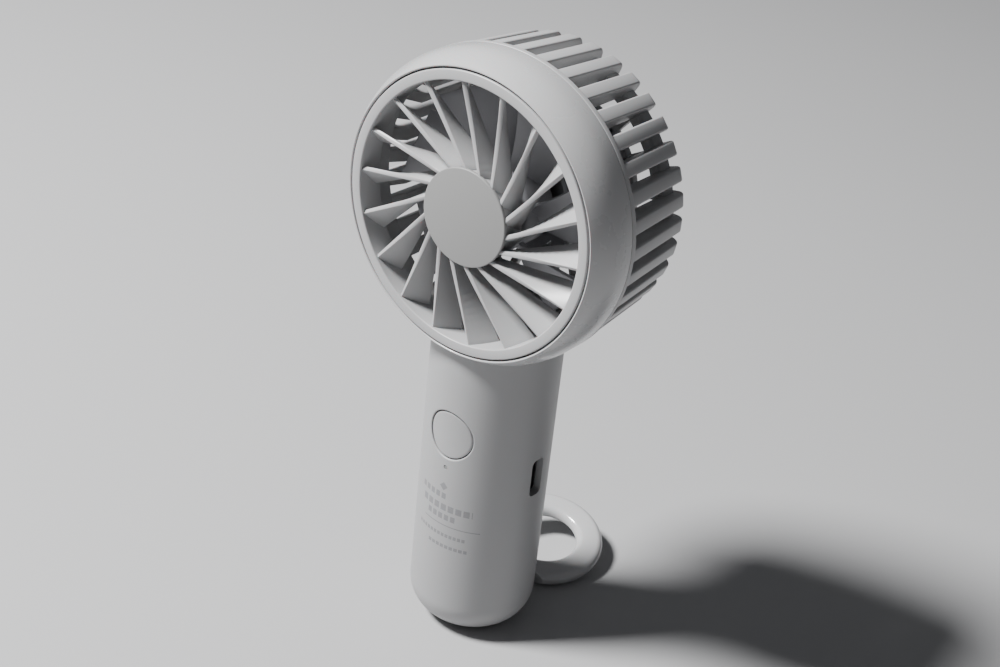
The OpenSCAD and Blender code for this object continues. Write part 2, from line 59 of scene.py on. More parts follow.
MM = 0.001
FULL_TURN = 2 * math.pi
SHARP_ANGLE = math.radians(38)
RIGHT = Vector((1, 0, 0)).freeze()
REARWARD = Vector((0, 1, 0)).freeze()
UP = Vector((0, 0, 1)).freeze()
Outline = Sequence[tuple[float, float, float]]
log = logging.getLogger("mini_fan")


# ---------- shader maths ----------

class Value:
    """A node socket that can be used in Python expressions."""

    def __init__(self, sketch: "Sketch", socket: bpy.types.NodeSocket) -> None:
        """Wraps one output socket.

        Args:
            sketch: the node tree's builder.
            socket: the output socket.
        """
        self.sketch = sketch
        self.socket = socket

    def _math(self, operation: str, first: "Value | float", second: "Value | float | None" = None) -> "Value":
        """Adds one Math node.

        Args:
            operation: the Math node's operation.
            first: its first input.
            second: its second input, if it has one.

        Returns:
            The node's result.
        """
        inputs = {0: first} if second is None else {0: first, 1: second}
        return self.sketch.node("ShaderNodeMath", {"operation": operation}, inputs)

    def __add__(self, other: "Value | float") -> "Value":
        """Sum.

        Args:
            other: what is added.

        Returns:
            The sum.
        """
        return self._math("ADD", self, other)

    __radd__ = __add__

    def __sub__(self, other: "Value | float") -> "Value":
        """Difference.

        Args:
            other: what is taken away.

        Returns:
            The difference.
        """
        return self._math("SUBTRACT", self, other)

    def __rsub__(self, other: "Value | float") -> "Value":
        """Difference from a number.

        Args:
            other: the number this is taken from.

        Returns:
            The difference.
        """
        return self._math("SUBTRACT", other, self)

    def __mul__(self, other: "Value | float") -> "Value":
        """Product.

        Args:
            other: what this is multiplied by.

        Returns:
            The product.
        """
        return self._math("MULTIPLY", self, other)

    __rmul__ = __mul__

    def __lt__(self, other: "Value | float") -> "Value":
        """One where this is less than the other.

        Args:
            other: what this is compared with.

        Returns:
            One or zero.
        """
        return self._math("LESS_THAN", self, other)

    def __gt__(self, other: "Value | float") -> "Value":
        """One where this is more than the other.

        Args:
            other: what this is compared with.

        Returns:
            One or zero.
        """
        return self._math("GREATER_THAN", self, other)

    def __abs__(self) -> "Value":
        """Size without its sign.

        Returns:
            The size.
        """
        return self._math("ABSOLUTE", self)

    def fraction(self) -> "Value":
        """The part after the decimal point.

        Returns:
            The fraction.
        """
        return self._math("FRACT", self)

    def angle_to(self, other: "Value") -> "Value":
        """Angle whose tangent is this over the other.

        Args:
            other: the value that this is divided by.

        Returns:
            The angle in radians.
        """
        return self._math("ARCTAN2", self, other)

    def union(self, other: "Value") -> "Value":
        """The larger of two masks.

        Args:
            other: the second mask.

        Returns:
            The joined mask.
        """
        return self._math("MAXIMUM", self, other)


class Sketch:
    """Builds the node tree of one material."""

    def __init__(self, name: str) -> None:
        """Starts a material with an empty node tree.

        Args:
            name: the material's name.
        """
        self.material = bpy.data.materials.new(name)
        self.material.use_nodes = True
        self.tree = self.material.node_tree
        self.tree.nodes.clear()

    def node(self, kind: str, settings: dict | None = None, inputs: dict | None = None,
             output: int | str = 0) -> Value:
        """Adds one node.

        Args:
            kind: the node's type.
            settings: what is set on the node itself, before its sockets.
            inputs: the values or links of its input sockets.
            output: which output the result wraps.

        Returns:
            The chosen output.
        """
        made = self.tree.nodes.new(kind)
        for key, value in (settings or {}).items():
            setattr(made, key, value)
        for key, value in (inputs or {}).items():
            if isinstance(value, Value):
                self.tree.links.new(value.socket, made.inputs[key])
            else:
                made.inputs[key].default_value = value
        return Value(self, made.outputs[output])

    def place(self) -> Value:
        """Object coordinates.

        Returns:
            The coordinates.
        """
        return self.node("ShaderNodeTexCoord", output="Object")

    def parts(self, vector: Value) -> tuple[Value, Value, Value]:
        """The three components of a vector.

        Args:
            vector: the vector to split.

        Returns:
            Its x, y and z.
        """
        split = self.node("ShaderNodeSeparateXYZ", inputs={0: vector}).socket.node
        return Value(self, split.outputs[0]), Value(self, split.outputs[1]), Value(self, split.outputs[2])

    def noise(self, place: Value, scale: float, detail: float = 2.0, roughness: float = 0.5) -> Value:
        """Noise between zero and one.

        Args:
            place: the coordinates.
            scale: how many features fit in a metre.
            detail: number of octaves.
            roughness: weight of the finer octaves.

        Returns:
            The noise's factor.
        """
        return self.node("ShaderNodeTexNoise", inputs={
            "Vector": place, "Scale": scale, "Detail": detail, "Roughness": roughness})

    def blend(self, factor: Value, low: Sequence[float], high: "Sequence[float] | Value") -> Value:
        """Mixes two colours.

        Args:
            factor: where the second colour shows.
            low: the first colour, or a colour value.
            high: the second colour.

        Returns:
            The mixed colour.
        """
        made = self.node("ShaderNodeMix", {"data_type": "RGBA"}, output=2).socket.node
        self.tree.links.new(factor.socket, made.inputs[0])
        for socket, colour in ((made.inputs[6], low), (made.inputs[7], high)):
            if isinstance(colour, Value):
                self.tree.links.new(colour.socket, socket)
            else:
                socket.default_value = (*colour[:3], 1.0)
        return Value(self, made.outputs[2])

    def shader(self, inputs: dict) -> bpy.types.Material:
        """Ends the tree with a Principled shader.

        Args:
            inputs: the shader's sockets.

        Returns:
            The finished material.
        """
        surface = self.node("ShaderNodeBsdfPrincipled", inputs=inputs)
        self.node_output(surface)
        return self.material

    def node_output(self, surface: Value) -> None:
        """Links a shader to the material's output.

        Args:
            surface: the shader.
        """
        out = self.tree.nodes.new("ShaderNodeOutputMaterial")
        self.tree.links.new(surface.socket, out.inputs["Surface"])


# ---------- finishes ----------

@dataclass(frozen=True)
class MouldedPlastic:
    """Moulded plastic: a slightly cloudy colour, a fine skin and soft flow marks."""

    name: str
    colour: tuple[float, float, float]
    roughness: float
    grain: float = 0.012
    cloud: float = 0.035
    coat: float = 0.0
    translucence: float = 0.0

    def tint(self, sketch: Sketch, place: Value) -> Value:
        """Colour with broad, faint clouds.

        Args:
            sketch: the material's builder.
            place: object coordinates.

        Returns:
            The colour.
        """
        shade = tuple(channel * (1 - 2 * self.cloud) for channel in self.colour)
        return sketch.blend(sketch.noise(place, 38, 3.0), shade, self.colour)

    def build(self) -> bpy.types.Material:
        """Makes the material.

        Returns:
            The finished material.
        """
        sketch = Sketch(self.name)
        place = sketch.place()
        smudge = sketch.noise(place, 110, 4.0, 0.6)
        skin = sketch.noise(place, 5200, 2.0)
        flow = sketch.noise(place, 60, 1.0)
        height = skin * self.grain + flow * (self.grain * 6)
        bump = sketch.node("ShaderNodeBump", inputs={"Strength": 0.35, "Distance": MM, "Height": height})
        return sketch.shader({
            "Base Color": self.tint(sketch, place),
            "Roughness": smudge * 0.12 + (self.roughness - 0.06),
            "Coat Weight": self.coat,
            "Coat Roughness": 0.12,
            "Subsurface Weight": self.translucence,
            "Subsurface Scale": 1.5 * MM,
            "Normal": bump})


@dataclass(frozen=True)
class PrintedRow:
    """One row of plain dashes printed round the handle's front."""

    height: float
    thickness: float
    start: float
    end: float
    dashes: float
    duty: float

    def mask(self, round_angle: Value, up: Value) -> Value:
        """One inside the row's dashes.

        Args:
            round_angle: angle round the handle, in degrees from the front.
            up: height in millimetres.

        Returns:
            The row's mask.
        """
        band = abs(up - self.height) < self.thickness / 2
        span = (round_angle > self.start) * (round_angle < self.end)
        dash = ((round_angle - self.start) * (1 / self.dashes)).fraction() < self.duty
        return band * span * dash


@dataclass(frozen=True)
class PrintedPlastic(MouldedPlastic):
    """The handle's plastic, with a small diamond and rows of plain grey dashes."""

    ink: tuple[float, float, float] = (0.16, 0.16, 0.17)
    diamond_z: float = 41.4
    diamond_size: float = 1.1
    rows: tuple[PrintedRow, ...] = ()

    def tint(self, sketch: Sketch, place: Value) -> Value:
        """Plastic colour with the print over it.

        Args:
            sketch: the material's builder.
            place: object coordinates.

        Returns:
            The colour.
        """
        plain = super().tint(sketch, place)
        across, depth, up = sketch.parts(place)
        angle = across.angle_to(depth * -1) * math.degrees(1)
        up_mm = up * (1 / MM)
        front = depth < 0
        print_mask = (abs(across * (1 / MM)) + abs(up_mm - self.diamond_z)) < self.diamond_size
        for row in self.rows:
            print_mask = print_mask.union(row.mask(angle, up_mm))
        worn = sketch.noise(place, 2600, 2.0) * 0.35 + 0.55
        return sketch.blend(print_mask * front * worn, plain, self.ink)


@dataclass(frozen=True)
class PlainMetal:
    """Drawn or turned metal with fine directional scratches."""

    name: str
    colour: tuple[float, float, float]
    roughness: float

    def build(self) -> bpy.types.Material:
        """Makes the material.

        Returns:
            The finished material.
        """
        sketch = Sketch(self.name)
        place = sketch.place()
        stretched = sketch.node("ShaderNodeMapping", inputs={"Vector": place, "Scale": (1.0, 14.0, 1.0)})
        scratch = sketch.noise(stretched, 900, 3.0, 0.6)
        dark = tuple(channel * 0.8 for channel in self.colour)
        bump = sketch.node(
            "ShaderNodeBump", inputs={"Strength": 0.2, "Distance": 0.1 * MM, "Height": scratch})
        return sketch.shader({
            "Base Color": sketch.blend(scratch, dark, self.colour),
            "Metallic": 1.0,
            "Roughness": scratch * 0.16 + self.roughness,
            "Normal": bump})


@dataclass(frozen=True)
class ClearPlastic:
    """Frosted clear light guide."""

    name: str
    colour: tuple[float, float, float]

    def build(self) -> bpy.types.Material:
        """Makes the material.

        Returns:
            The finished material.
        """
        sketch = Sketch(self.name)
        haze = sketch.noise(sketch.place(), 900, 2.0)
        return sketch.shader({
            "Base Color": sketch.blend(haze, self.colour, tuple(c * 0.75 for c in self.colour)),
            "Roughness": haze * 0.2 + 0.25,
            "Transmission Weight": 0.4})


@dataclass(frozen=True)
class TableTop:
    """Plain pale surface under the fan."""

    name: str
    colour: tuple[float, float, float]

    def build(self) -> bpy.types.Material:
        """Makes the material.

        Returns:
            The finished material.
        """
        sketch = Sketch(self.name)
        place = sketch.place()
        cloud = sketch.noise(place, 3.0, 2.0)
        return sketch.shader({
            "Base Color": sketch.blend(cloud, tuple(c * 0.97 for c in self.colour), self.colour),
            "Roughness": sketch.noise(place, 400, 2.0) * 0.1 + 0.62})


PRINT_ROWS = (
    PrintedRow(38.9, 1.5, -27, 4, 6.4, 0.7),
    PrintedRow(35.9, 1.7, -24, 30, 7.6, 0.74),
    PrintedRow(33.4, 1.5, -16, 16, 6.4, 0.7),
    PrintedRow(31.2, 0.25, -20, 38, 60, 1.0),
    PrintedRow(28.5, 0.9, -27, 26, 4.1, 0.72),
    PrintedRow(25.5, 0.9, -12, 28, 4.6, 0.75),
)


class Finish(Enum):
    """Every finish on the fan, by the slot of the record that it dresses."""

    BEZEL = MouldedPlastic("gloss_white_plastic", (0.43, 0.43, 0.434), 0.27, coat=0.3, translucence=0.06)
    # Same white plastic as the bezel; its colour is painted darker as painted shade on the front-facing grille
    # and cage.
    GRILLE = MouldedPlastic("satin_white_plastic", (0.38, 0.38, 0.384), 0.36, translucence=0.06)
    # Same white plastic as the bezel; its colour is painted darker as painted shade on the handle's front.
    HANDLE = PrintedPlastic("printed_white_plastic", (0.33, 0.33, 0.334), 0.42, translucence=0.05,
                            rows=PRINT_ROWS)
    RING = MouldedPlastic("polished_white_plastic", (0.47, 0.47, 0.475), 0.18, coat=0.5, translucence=0.06)
    # Grey plastic, painted darker still as painted shade on the hub's front face.
    HUB = MouldedPlastic("matt_grey_plastic", (0.235, 0.235, 0.232), 0.5)
    BLADE = MouldedPlastic("impeller_grey_plastic", (0.42, 0.42, 0.44), 0.4)
    BLACK = MouldedPlastic("black_plastic", (0.02, 0.02, 0.022), 0.45)
    BOARD = MouldedPlastic("green_board", (0.03, 0.16, 0.08), 0.35)
    WRAP = MouldedPlastic("cell_sleeve", (0.10, 0.24, 0.46), 0.3)
    LEAD = MouldedPlastic("lead_sleeve", (0.40, 0.40, 0.41), 0.4)
    FOAM = MouldedPlastic("foam", (0.03, 0.03, 0.03), 0.9, grain=0.08)
    STEEL = PlainMetal("plain_steel", (0.62, 0.62, 0.64), 0.28)
    # Steel painted nearly black: painted shade inside the charging socket's recess.
    SHADED_STEEL = PlainMetal("steel_painted_shade", (0.10, 0.10, 0.105), 0.4)
    BRONZE = PlainMetal("bronze", (0.62, 0.42, 0.20), 0.34)
    LENS = ClearPlastic("frosted_lens", (0.35, 0.37, 0.36))


SLOT_FINISH = {
    "shell_white": Finish.GRILLE, "hub_grey": Finish.HUB, "blade_grey": Finish.BLADE,
    "steel": Finish.STEEL, "bronze": Finish.BRONZE, "board_green": Finish.BOARD,
    "black_plastic": Finish.BLACK, "cell_wrap": Finish.WRAP, "lens_clear": Finish.LENS,
    "wire_red": Finish.LEAD, "foam": Finish.FOAM}
# The charging socket takes the steel painted dark as shade in its recess.
NODE_FINISH = {"usb_socket": Finish.SHADED_STEEL}


class Wardrobe:
    """Makes each finish once and hands it out."""

    def __init__(self) -> None:
        """Starts with nothing made."""
        self.made: dict[Finish, bpy.types.Material] = {}

    def material(self, finish: Finish) -> bpy.types.Material:
        """The material of a finish.

        Args:
            finish: which finish.

        Returns:
            Its material, made on first use.
        """
        if finish not in self.made:
            self.made[finish] = finish.value.build()
        return self.made[finish]


# ---------- mesh tools ----------

@dataclass(frozen=True)
class Axis:
    """A line that round shapes are turned about, and the direction their outlines start in."""

    centre: Vector
    along: Vector
    out: Vector
    steps: int = 144

    def at(self, radius: float, run: float, angle: float = 0.0) -> Vector:
        """Point at a radius, a run along the axis and an angle about it.

        Args:
            radius: distance from the axis.
            run: distance along the axis.
            angle: angle about the axis, in radians.

        Returns:
            The point.
        """
        turned = Matrix.Rotation(angle, 3, self.along) @ self.out
        return self.centre + turned * radius + self.along * run


def round_off(bm: bmesh.types.BMesh, verts: list[bmesh.types.BMVert], size: float, segments: int) -> None:
    """Rounds corners of a flat outline.

    Args:
        bm: the mesh.
        verts: the corners.
        size: distance from each corner at which its curve starts.
        segments: edges in each curve.
    """
    bmesh.ops.bevel(bm, geom=verts, offset=size, offset_type="OFFSET", segments=segments, profile=0.5,
                    affect="VERTICES", clamp_overlap=True, material=-1)


def lathe(bm: bmesh.types.BMesh, axis: Axis, outline: Outline, segments: int = 4) -> list[bmesh.types.BMFace]:
    """Turns a closed outline right round an axis.

    Args:
        bm: the mesh to add to.
        axis: what it turns about.
        outline: corners as radius, run along the axis and rounding, in order.
        segments: edges in each rounded corner.

    Returns:
        The new faces.
    """
    old = set(bm.verts)
    corners = [bm.verts.new(axis.at(radius, run)) for radius, run, _ in outline]
    bm.faces.new(corners)
    for corner, (_, _, size) in zip(corners, outline):
        if size > 0:
            round_off(bm, [corner], size, max(segments, round(size / MM * 2)))
    made = [v for v in bm.verts if v not in old]
    face = made[0].link_faces[0]
    edges = list(face.edges)
    bmesh.ops.delete(bm, geom=[face], context="FACES_ONLY")
    on_axis = [e for e in edges if all((v.co - axis.centre).cross(axis.along).length < 1e-7 for v in e.verts)]
    wire = [e for e in edges if e not in on_axis]
    bmesh.ops.delete(bm, geom=on_axis, context="EDGES")
    verts = list({v for e in wire for v in e.verts})
    bmesh.ops.spin(bm, geom=wire + verts, cent=axis.centre, axis=axis.along, dvec=(0, 0, 0),
                   angle=FULL_TURN, steps=axis.steps, use_merge=True)
    poles = [v for v in bm.verts if v not in old and (v.co - axis.centre).cross(axis.along).length < 1e-7]
    bmesh.ops.remove_doubles(bm, verts=poles, dist=1e-7)
    faces = list({f for v in bm.verts if v not in old for f in v.link_faces})
    bmesh.ops.recalc_face_normals(bm, faces=faces)
    return faces


def soften(bm: bmesh.types.BMesh, verts: Iterable[bmesh.types.BMVert], size: float,
           segments: int = 2) -> None:
    """Rounds the sharp edges among some vertices.

    Args:
        bm: the mesh.
        verts: vertices whose edges are looked at.
        size: width of the rounding.
        segments: faces across each rounding.
    """
    edges = {e for v in verts for e in v.link_edges}
    sharp = [e for e in edges if len(e.link_faces) == 2 and e.calc_face_angle(0.0) > SHARP_ANGLE]
    bmesh.ops.bevel(bm, geom=sharp, offset=size, offset_type="OFFSET", segments=segments, profile=0.5,
                    affect="EDGES", clamp_overlap=True, material=-1)


def block(bm: bmesh.types.BMesh, low: Sequence[float], high: Sequence[float], rounding: float) -> None:
    """Adds a box with rounded edges.

    Args:
        bm: the mesh to add to.
        low: its lowest corner.
        high: its highest corner.
        rounding: width of the edges' rounding.
    """
    low_corner, high_corner = Vector(low), Vector(high)
    size = high_corner - low_corner
    placed = Matrix.Translation((low_corner + high_corner) / 2) @ Matrix.Diagonal((*size, 1.0))
    made = bmesh.ops.create_cube(bm, size=1.0, matrix=placed)
    soften(bm, made["verts"], rounding)


def copies_round(bm: bmesh.types.BMesh, verts: Iterable[bmesh.types.BMVert], axis: Axis, count: int) -> None:
    """Repeats a shape evenly about an axis.

    Args:
        bm: the mesh.
        verts: the shape's vertices.
        axis: what it is repeated about.
        count: number of shapes in all.
    """
    shape = set(verts)
    edges = {e for v in shape for e in v.link_edges}
    faces = {f for v in shape for f in v.link_faces}
    bmesh.ops.spin(bm, geom=list(shape) + list(edges) + list(faces), cent=axis.centre, axis=axis.along,
                   dvec=(0, 0, 0), angle=FULL_TURN * (count - 1) / count, steps=count - 1,
                   use_duplicate=True)


def ruled_blade(bm: bmesh.types.BMesh, edge_at: Callable[[float], tuple[Vector, Vector]], steps: int,
                thickness: float, rounding: float) -> None:
    """Adds a thin twisted blade that runs between a front and a rear edge.

    Args:
        bm: the mesh to add to.
        edge_at: the front and rear points at a share of the blade's length.
        steps: strips along its length.
        thickness: its thickness.
        rounding: width of its edges' rounding.
    """
    old = set(bm.verts)
    front, rear = (bm.verts.new(p) for p in edge_at(0.0))
    edge = bm.edges.new((front, rear))
    for step in range(1, steps + 1):
        grown = bmesh.ops.extrude_edge_only(bm, edges=[edge])["geom"]
        edge = next(g for g in grown if isinstance(g, bmesh.types.BMEdge))
        targets = edge_at(step / steps)
        previous = edge_at((step - 1) / steps)
        for vert in edge.verts:
            is_front = (vert.co - previous[0]).length < (vert.co - previous[1]).length
            vert.co = targets[0] if is_front else targets[1]
    faces = list({f for v in bm.verts if v not in old for f in v.link_faces})
    bmesh.ops.recalc_face_normals(bm, faces=faces)
    bmesh.ops.solidify(bm, geom=faces, thickness=thickness)
    made = [v for v in bm.verts if v not in old]
    bmesh.ops.recalc_face_normals(bm, faces=list({f for v in made for f in v.link_faces}))
    soften(bm, made, rounding)


def to_mesh(bm: bmesh.types.BMesh, name: str) -> bpy.types.Mesh:
    """Ends a bmesh as a mesh.

    Args:
        bm: the mesh data, freed here.
        name: the mesh's name.

    Returns:
        The mesh.
    """
    mesh = bpy.data.meshes.new(name)
    bm.to_mesh(mesh)
    bm.free()
    return mesh


def carve(target: bpy.types.Mesh, tool: bmesh.types.BMesh, operation: str) -> bpy.types.Mesh:
    """Cuts one closed mesh with another.

    Args:
        target: the mesh to cut.
        tool: the cutter.
        operation: DIFFERENCE, INTERSECT or UNION.

    Returns:
        The cut mesh.
    """
    scene = bpy.context.scene.collection
    body = bpy.data.objects.new("carve_body", target)
    cutter = bpy.data.objects.new("carve_tool", to_mesh(tool, "carve_tool"))
    scene.objects.link(body)
    scene.objects.link(cutter)
    change = body.modifiers.new("carve", "BOOLEAN")
    change.operation = operation
    change.solver = "EXACT"
    change.object = cutter
    graph = bpy.context.evaluated_depsgraph_get()
    result = bpy.data.meshes.new_from_object(body.evaluated_get(graph))
    for spent in (body, cutter):
        bpy.data.objects.remove(spent)
    return result


@dataclass
class Bench:
    """Where finished pieces are put into the scene."""

    wardrobe: Wardrobe = field(default_factory=Wardrobe)

    def place(self, mesh: bpy.types.Mesh, name: str, body: str, slot: str, finish: Finish,
              stands_for: Sequence[str] = ()) -> bpy.types.Object:
        """Puts a finished mesh into the scene on its body.

        Args:
            mesh: the piece's mesh, already in place.
            name: the piece's name.
            body: the body it rides on.
            slot: the record's slot of the piece; not used.
            finish: its material.
            stands_for: CAD nodes it is shown in place of.

        Returns:
            The piece.
        """
        mesh.name = name
        mesh.materials.clear()
        mesh.materials.append(self.wardrobe.material(finish))
        mesh.polygons.foreach_set("use_smooth", [True] * len(mesh.polygons))
        mesh.polygons.foreach_set("material_index", [0] * len(mesh.polygons))
        mesh.set_sharp_from_angle(angle=SHARP_ANGLE)
        piece = bpy.data.objects.new(name, mesh)
        bpy.context.scene.collection.objects.link(piece)
        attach(piece, body)
        if stands_for:
            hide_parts(*stands_for)
        log.info("%s: %d faces on %s", name, len(mesh.polygons), body)
        return piece


# ---------- sizes ----------

@dataclass(frozen=True)
class FanSizes:
    """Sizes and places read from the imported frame, in metres."""

    head: Axis
    handle: Axis
    head_r: float
    front_y: float
    band_y: float
    rear_y: float
    hub_r: float
    hub_front_y: float
    handle_r: float
    button: Vector
    button_r: float
    socket_low: Vector
    socket_high: Vector
    pin: Vector
    pin_r: float
    pin_half: float
    lip_face: float = 2.9 * MM
    nose_len: float = 8 * MM
    lip_t: float = 2.6 * MM
    head_wall: float = 1.8 * MM
    seam_y: float = 8 * MM
    handle_wall: float = 2 * MM
    foot_round: float = 9 * MM

    @classmethod
    def from_frame(cls) -> "FanSizes":
        """Reads the frame's boxes.

        Returns:
            The sizes.
        """
        bezel_low, bezel_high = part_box("front_bezel")
        hub_low, hub_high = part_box("hub_cap")
        shell_low, shell_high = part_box("handle_front_shell")
        cap_low, cap_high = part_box("power_button")
        socket_low, socket_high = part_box("usb_socket")
        pin_low, pin_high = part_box("hinge_pin")
        centre = Vector((0.0, 0.0, (bezel_low.z + bezel_high.z) / 2))
        return cls(
            head=Axis(centre, REARWARD, RIGHT, 180),
            handle=Axis(Vector((0, 0, 0)), UP, RIGHT, 144),
            head_r=(bezel_high.x - bezel_low.x) / 2,
            front_y=bezel_low.y,
            band_y=bezel_high.y,
            rear_y=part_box("rear_cage")[1].y,
            hub_r=(hub_high.x - hub_low.x) / 2,
            hub_front_y=hub_low.y,
            handle_r=(shell_high.x - shell_low.x) / 2,
            button=Vector((0.0, cap_low.y, (cap_low.z + cap_high.z) / 2)),
            button_r=(cap_high.x - cap_low.x) / 2 - MM,
            socket_low=socket_low,
            socket_high=socket_high,
            pin=(pin_low + pin_high) / 2,
            pin_r=(pin_high.z - pin_low.z) / 2,
            pin_half=pin_high.x)

    def nose(self, inset: float = 0.0, count: int = 14) -> list[tuple[float, float, float]]:
        """Curve of the bezel's rounded nose, from its lip out to its side.

        Args:
            inset: how far inside the outer surface the curve lies.
            count: number of points.

        Returns:
            Outline corners along the curve.
        """
        rise = self.lip_face - 0.3 * MM
        run = self.nose_len - 0.1 * MM
        radius = (rise ** 2 + run ** 2) / (2 * rise)
        widest = math.acos(1 - rise / radius)
        points = []
        for step in range(count + 1):
            swing = widest * (1 - step / count)
            out = self.head_r - radius + (radius - inset) * math.cos(swing)
            back = self.front_y + self.nose_len - (radius - inset) * math.sin(swing)
            points.append((out, back, 0.0))
        return points


# ---------- head ----------

@dataclass
class Bezel:
    """Glossy ring with a rounded nose round the grille."""

    sizes: FanSizes
    lip_round: float = 0.35 * MM
    seam_round: float = 0.25 * MM

    def build(self, bench: Bench) -> None:
        """Turns the bezel's outline.

        Args:
            bench: where finished pieces are placed and finishes come from.
        """
        s = self.sizes
        lip_r = s.head_r - s.lip_face
        inner_r = s.head_r - s.head_wall
        nose = s.nose()
        outline = [(lip_r, s.front_y + s.lip_t, 0.0), (lip_r, s.front_y + 0.05 * MM, self.lip_round), *nose,
                   (s.head_r, s.band_y, self.seam_round), (inner_r, s.band_y, 0.0),
                   (inner_r, s.front_y + s.lip_t, 0.0)]
        bm = bmesh.new()
        lathe(bm, s.head, outline)
        bench.place(to_mesh(bm, "bezel"), "bezel_ring", "housing", "shell_white",
                    Finish.BEZEL, ["front_bezel"])


@dataclass
class Grille:
    """Flat ring, hub wall and twisted swept vanes."""

    sizes: FanSizes
    gap: float = 0.4 * MM
    ring_w: float = 2.3 * MM
    vane_count: int = 18
    vane_t: float = 1.0 * MM
    vane_depth: float = 5.0 * MM
    vane_set_back: float = 0.4 * MM
    sweep: float = math.radians(22)
    first: float = math.radians(18.4)
    rim_lean: float = 0.95
    hub_lean: float = 0.65
    strips: int = 14

    def vane_edge(self, share: float) -> tuple[Vector, Vector]:
        """Front and rear points of the first vane.

        Args:
            share: share of the way from the rim to the hub.

        Returns:
            The front point and the rear point.
        """
        s = self.sizes
        rim_r = s.head_r - s.lip_face - self.gap - self.ring_w
        rim_turn = self.vane_depth * self.rim_lean / rim_r
        hub_turn = self.vane_depth * self.hub_lean / s.hub_r
        front = s.front_y + self.vane_set_back
        rear = front + self.vane_depth
        out_r, in_r = rim_r + 0.7 * MM, s.hub_r - 1.0 * MM
        hub_angle = self.first - self.sweep
        fronts = (s.head.at(out_r, front, -self.first), s.head.at(in_r, front, -hub_angle))
        rears = (s.head.at(out_r, rear, -self.first - rim_turn), s.head.at(in_r, rear, -hub_angle + hub_turn))
        return fronts[0].lerp(fronts[1], share), rears[0].lerp(rears[1], share)

    def build(self, bench: Bench) -> None:
        """Turns the ring and the hub wall, and sets the vanes between them.

        Args:
            bench: where finished pieces are placed and finishes come from.
        """
        s = self.sizes
        out_r = s.head_r - s.lip_face - self.gap
        in_r = out_r - self.ring_w
        flange_r = s.head_r - s.head_wall - 0.15 * MM
        skirt_y = s.front_y + self.vane_depth + 1.5 * MM
        lip_y = s.front_y + s.lip_t
        bm = bmesh.new()
        lathe(bm, s.head, [
            (in_r, s.front_y, 0.3 * MM), (out_r, s.front_y, 0.3 * MM), (out_r, lip_y, 0.0),
            (flange_r, lip_y, 0.2 * MM), (flange_r, lip_y + 1.4 * MM, 0.2 * MM),
            (in_r + 1.4 * MM, lip_y + 1.4 * MM, 0.2 * MM), (in_r + 1.4 * MM, skirt_y, 0.3 * MM),
            (in_r, skirt_y, 0.3 * MM)])
        hub_wall_r = s.hub_r - 0.4 * MM
        lathe(bm, s.head, [
            (hub_wall_r - 1.6 * MM, s.front_y + 0.6 * MM, 0.0), (hub_wall_r, s.front_y + 0.6 * MM, 0.0),
            (hub_wall_r, skirt_y, 0.4 * MM), (hub_wall_r - 1.6 * MM, skirt_y, 0.0)])
        old = set(bm.verts)
        ruled_blade(bm, self.vane_edge, self.strips, self.vane_t, 0.24 * MM)
        copies_round(bm, [v for v in bm.verts if v not in old], s.head, self.vane_count)
        bench.place(to_mesh(bm, "grille"), "vane_grille", "housing", "shell_white", Finish.GRILLE,
                    ["front_grille"])
        self.build_hub(bench)

    def build_hub(self, bench: Bench) -> None:
        """Turns the flat disc on the hub.

        Args:
            bench: where finished pieces are placed and finishes come from.
        """
        s = self.sizes
        plug_r = s.hub_r - 2.15 * MM
        back = s.front_y + 0.6 * MM
        bm = bmesh.new()
        plug_y = back + 2.4 * MM
        lathe(bm, s.head, [(0.0, s.hub_front_y, 0.0), (s.hub_r, s.hub_front_y, 0.25 * MM),
                           (s.hub_r, back, 0.15 * MM), (plug_r, back, 0.0), (plug_r, plug_y, 0.2 * MM),
                           (0.0, plug_y, 0.0)])
        bench.place(to_mesh(bm, "hub"), "hub_disc", "housing", "hub_grey", Finish.HUB, ["hub_cap"])


